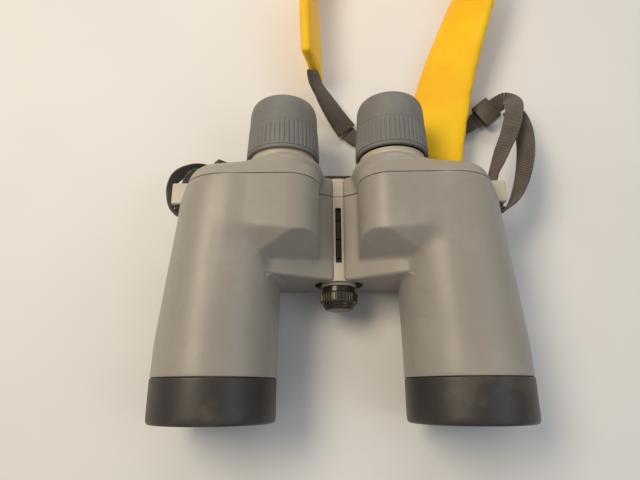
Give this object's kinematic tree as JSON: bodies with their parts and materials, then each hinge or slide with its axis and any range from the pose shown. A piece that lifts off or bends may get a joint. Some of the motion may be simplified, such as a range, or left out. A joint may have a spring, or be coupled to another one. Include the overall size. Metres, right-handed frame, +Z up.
{
  "type": "binoculars",
  "caption": "Marine Porro-prism binoculars with a centre hinge, twist-focus eyepieces, rubber rings and eyecups, a capped tripod socket and a floating neck strap.",
  "frame": {"origin": "on the table, under the middle of the box around the binoculars without their strap", "axes": "+X to the right barrel, +Y from the objectives towards the eyepieces, +Z up from the table it lies on"},
  "size_m": [0.2226, 0.3705, 0.068],
  "materials": {
    "housing_plastic": "satin moulded plastic",
    "ring_rubber": "smooth worn rubber",
    "cup_rubber": "smooth matt rubber",
    "grip_rubber": "finely ribbed rubber",
    "beige_plastic": "satin moulded plastic",
    "black_metal": "black anodised",
    "coated_glass": "coated, polished",
    "prism_glass": "polished",
    "seal_rubber": "smooth",
    "cast_aluminium": "black painted casting",
    "screw_steel": "blackened",
    "shaft_steel": "turned",
    "bush_bronze": "turned",
    "cap_plastic": "glossy, worn",
    "float_foam": "coated closed-cell foam",
    "stitched_webbing": "stitched double webbing",
    "webbing": "woven nylon",
    "keeper_plastic": "moulded"
  },
  "bodies": {
    "left_half": {"left_body": "housing_plastic", "left_rear_cover": "housing_plastic", "left_objective_ring": "ring_rubber", "left_objective_cell": "black_metal", "left_crown_lens": "coated_glass", "left_flint_lens": "coated_glass", "left_lens_retainer": "black_metal", "left_objective_seal": "seal_rubber", "left_front_prism": "prism_glass", "left_rear_prism": "prism_glass", "left_prism_plate": "cast_aluminium", "left_cover_screws": "screw_steel", "left_eyepiece_sleeve": "beige_plastic", "left_strap_lug": "beige_plastic", "hinge_shaft": "shaft_steel", "hinge_washers": "screw_steel", "hinge_strip": "beige_plastic", "hinge_end_cap": "beige_plastic", "float_pad": "float_foam", "left_tab": "stitched_webbing", "right_tab": "stitched_webbing", "left_webbing": "webbing", "left_loop": "webbing", "left_keeper": "keeper_plastic", "cross_webbing": "webbing"},
    "right_half": {"right_body": "housing_plastic", "right_rear_cover": "housing_plastic", "right_objective_ring": "ring_rubber", "right_objective_cell": "black_metal", "right_crown_lens": "coated_glass", "right_flint_lens": "coated_glass", "right_lens_retainer": "black_metal", "right_objective_seal": "seal_rubber", "right_front_prism": "prism_glass", "right_rear_prism": "prism_glass", "right_prism_plate": "cast_aluminium", "right_cover_screws": "screw_steel", "right_eyepiece_sleeve": "beige_plastic", "right_strap_lug": "beige_plastic", "hinge_bushes": "bush_bronze", "right_webbing": "webbing", "right_loop": "webbing", "right_keeper": "keeper_plastic"},
    "left_eyepiece": {"left_eyepiece_cell": "black_metal", "left_field_lens": "coated_glass", "left_eye_lens": "coated_glass"},
    "left_focus": {"left_focus_ring": "grip_rubber", "left_eyecup": "cup_rubber"},
    "right_eyepiece": {"right_eyepiece_cell": "black_metal", "right_field_lens": "coated_glass", "right_eye_lens": "coated_glass"},
    "right_focus": {"right_focus_ring": "grip_rubber", "right_eyecup": "cup_rubber"},
    "tripod_cap": {"tripod_cap": "cap_plastic"}
  },
  "joints": [
    {"name": "ipd_hinge", "type": "hinge", "parent": "left_half", "child": "right_half", "pos_m": [0, 0, 0.0205], "axis": [0, 1, 0], "range_deg": [-22, 8]},
    {"name": "left_focus_travel", "type": "slide", "parent": "left_half", "child": "left_eyepiece", "axis": [0, 1, 0], "range_m": [-0.00125, 0.00395]},
    {"name": "left_focus_turn", "type": "hinge", "parent": "left_eyepiece", "child": "left_focus", "pos_m": [-0.0324, 0, 0.0359], "axis": [0, 1, 0], "range_deg": [-60.5, 190]},
    {"name": "right_focus_travel", "type": "slide", "parent": "right_half", "child": "right_eyepiece", "axis": [0, 1, 0], "range_m": [-0.00395, 0.00125]},
    {"name": "right_focus_turn", "type": "hinge", "parent": "right_eyepiece", "child": "right_focus", "pos_m": [0.0324, 0, 0.0359], "axis": [0, 1, 0], "range_deg": [-190, 60.5]},
    {"name": "tripod_cap_slide", "type": "slide", "parent": "left_half", "child": "tripod_cap", "axis": [0, -1, 0], "range_m": [0, 0.045]}
  ],
  "couplings": [
    {"joint": "left_focus_turn", "follows": "left_focus_travel", "rad_per_m": 837.76},
    {"joint": "right_focus_turn", "follows": "right_focus_travel", "rad_per_m": 837.76}
  ]
}
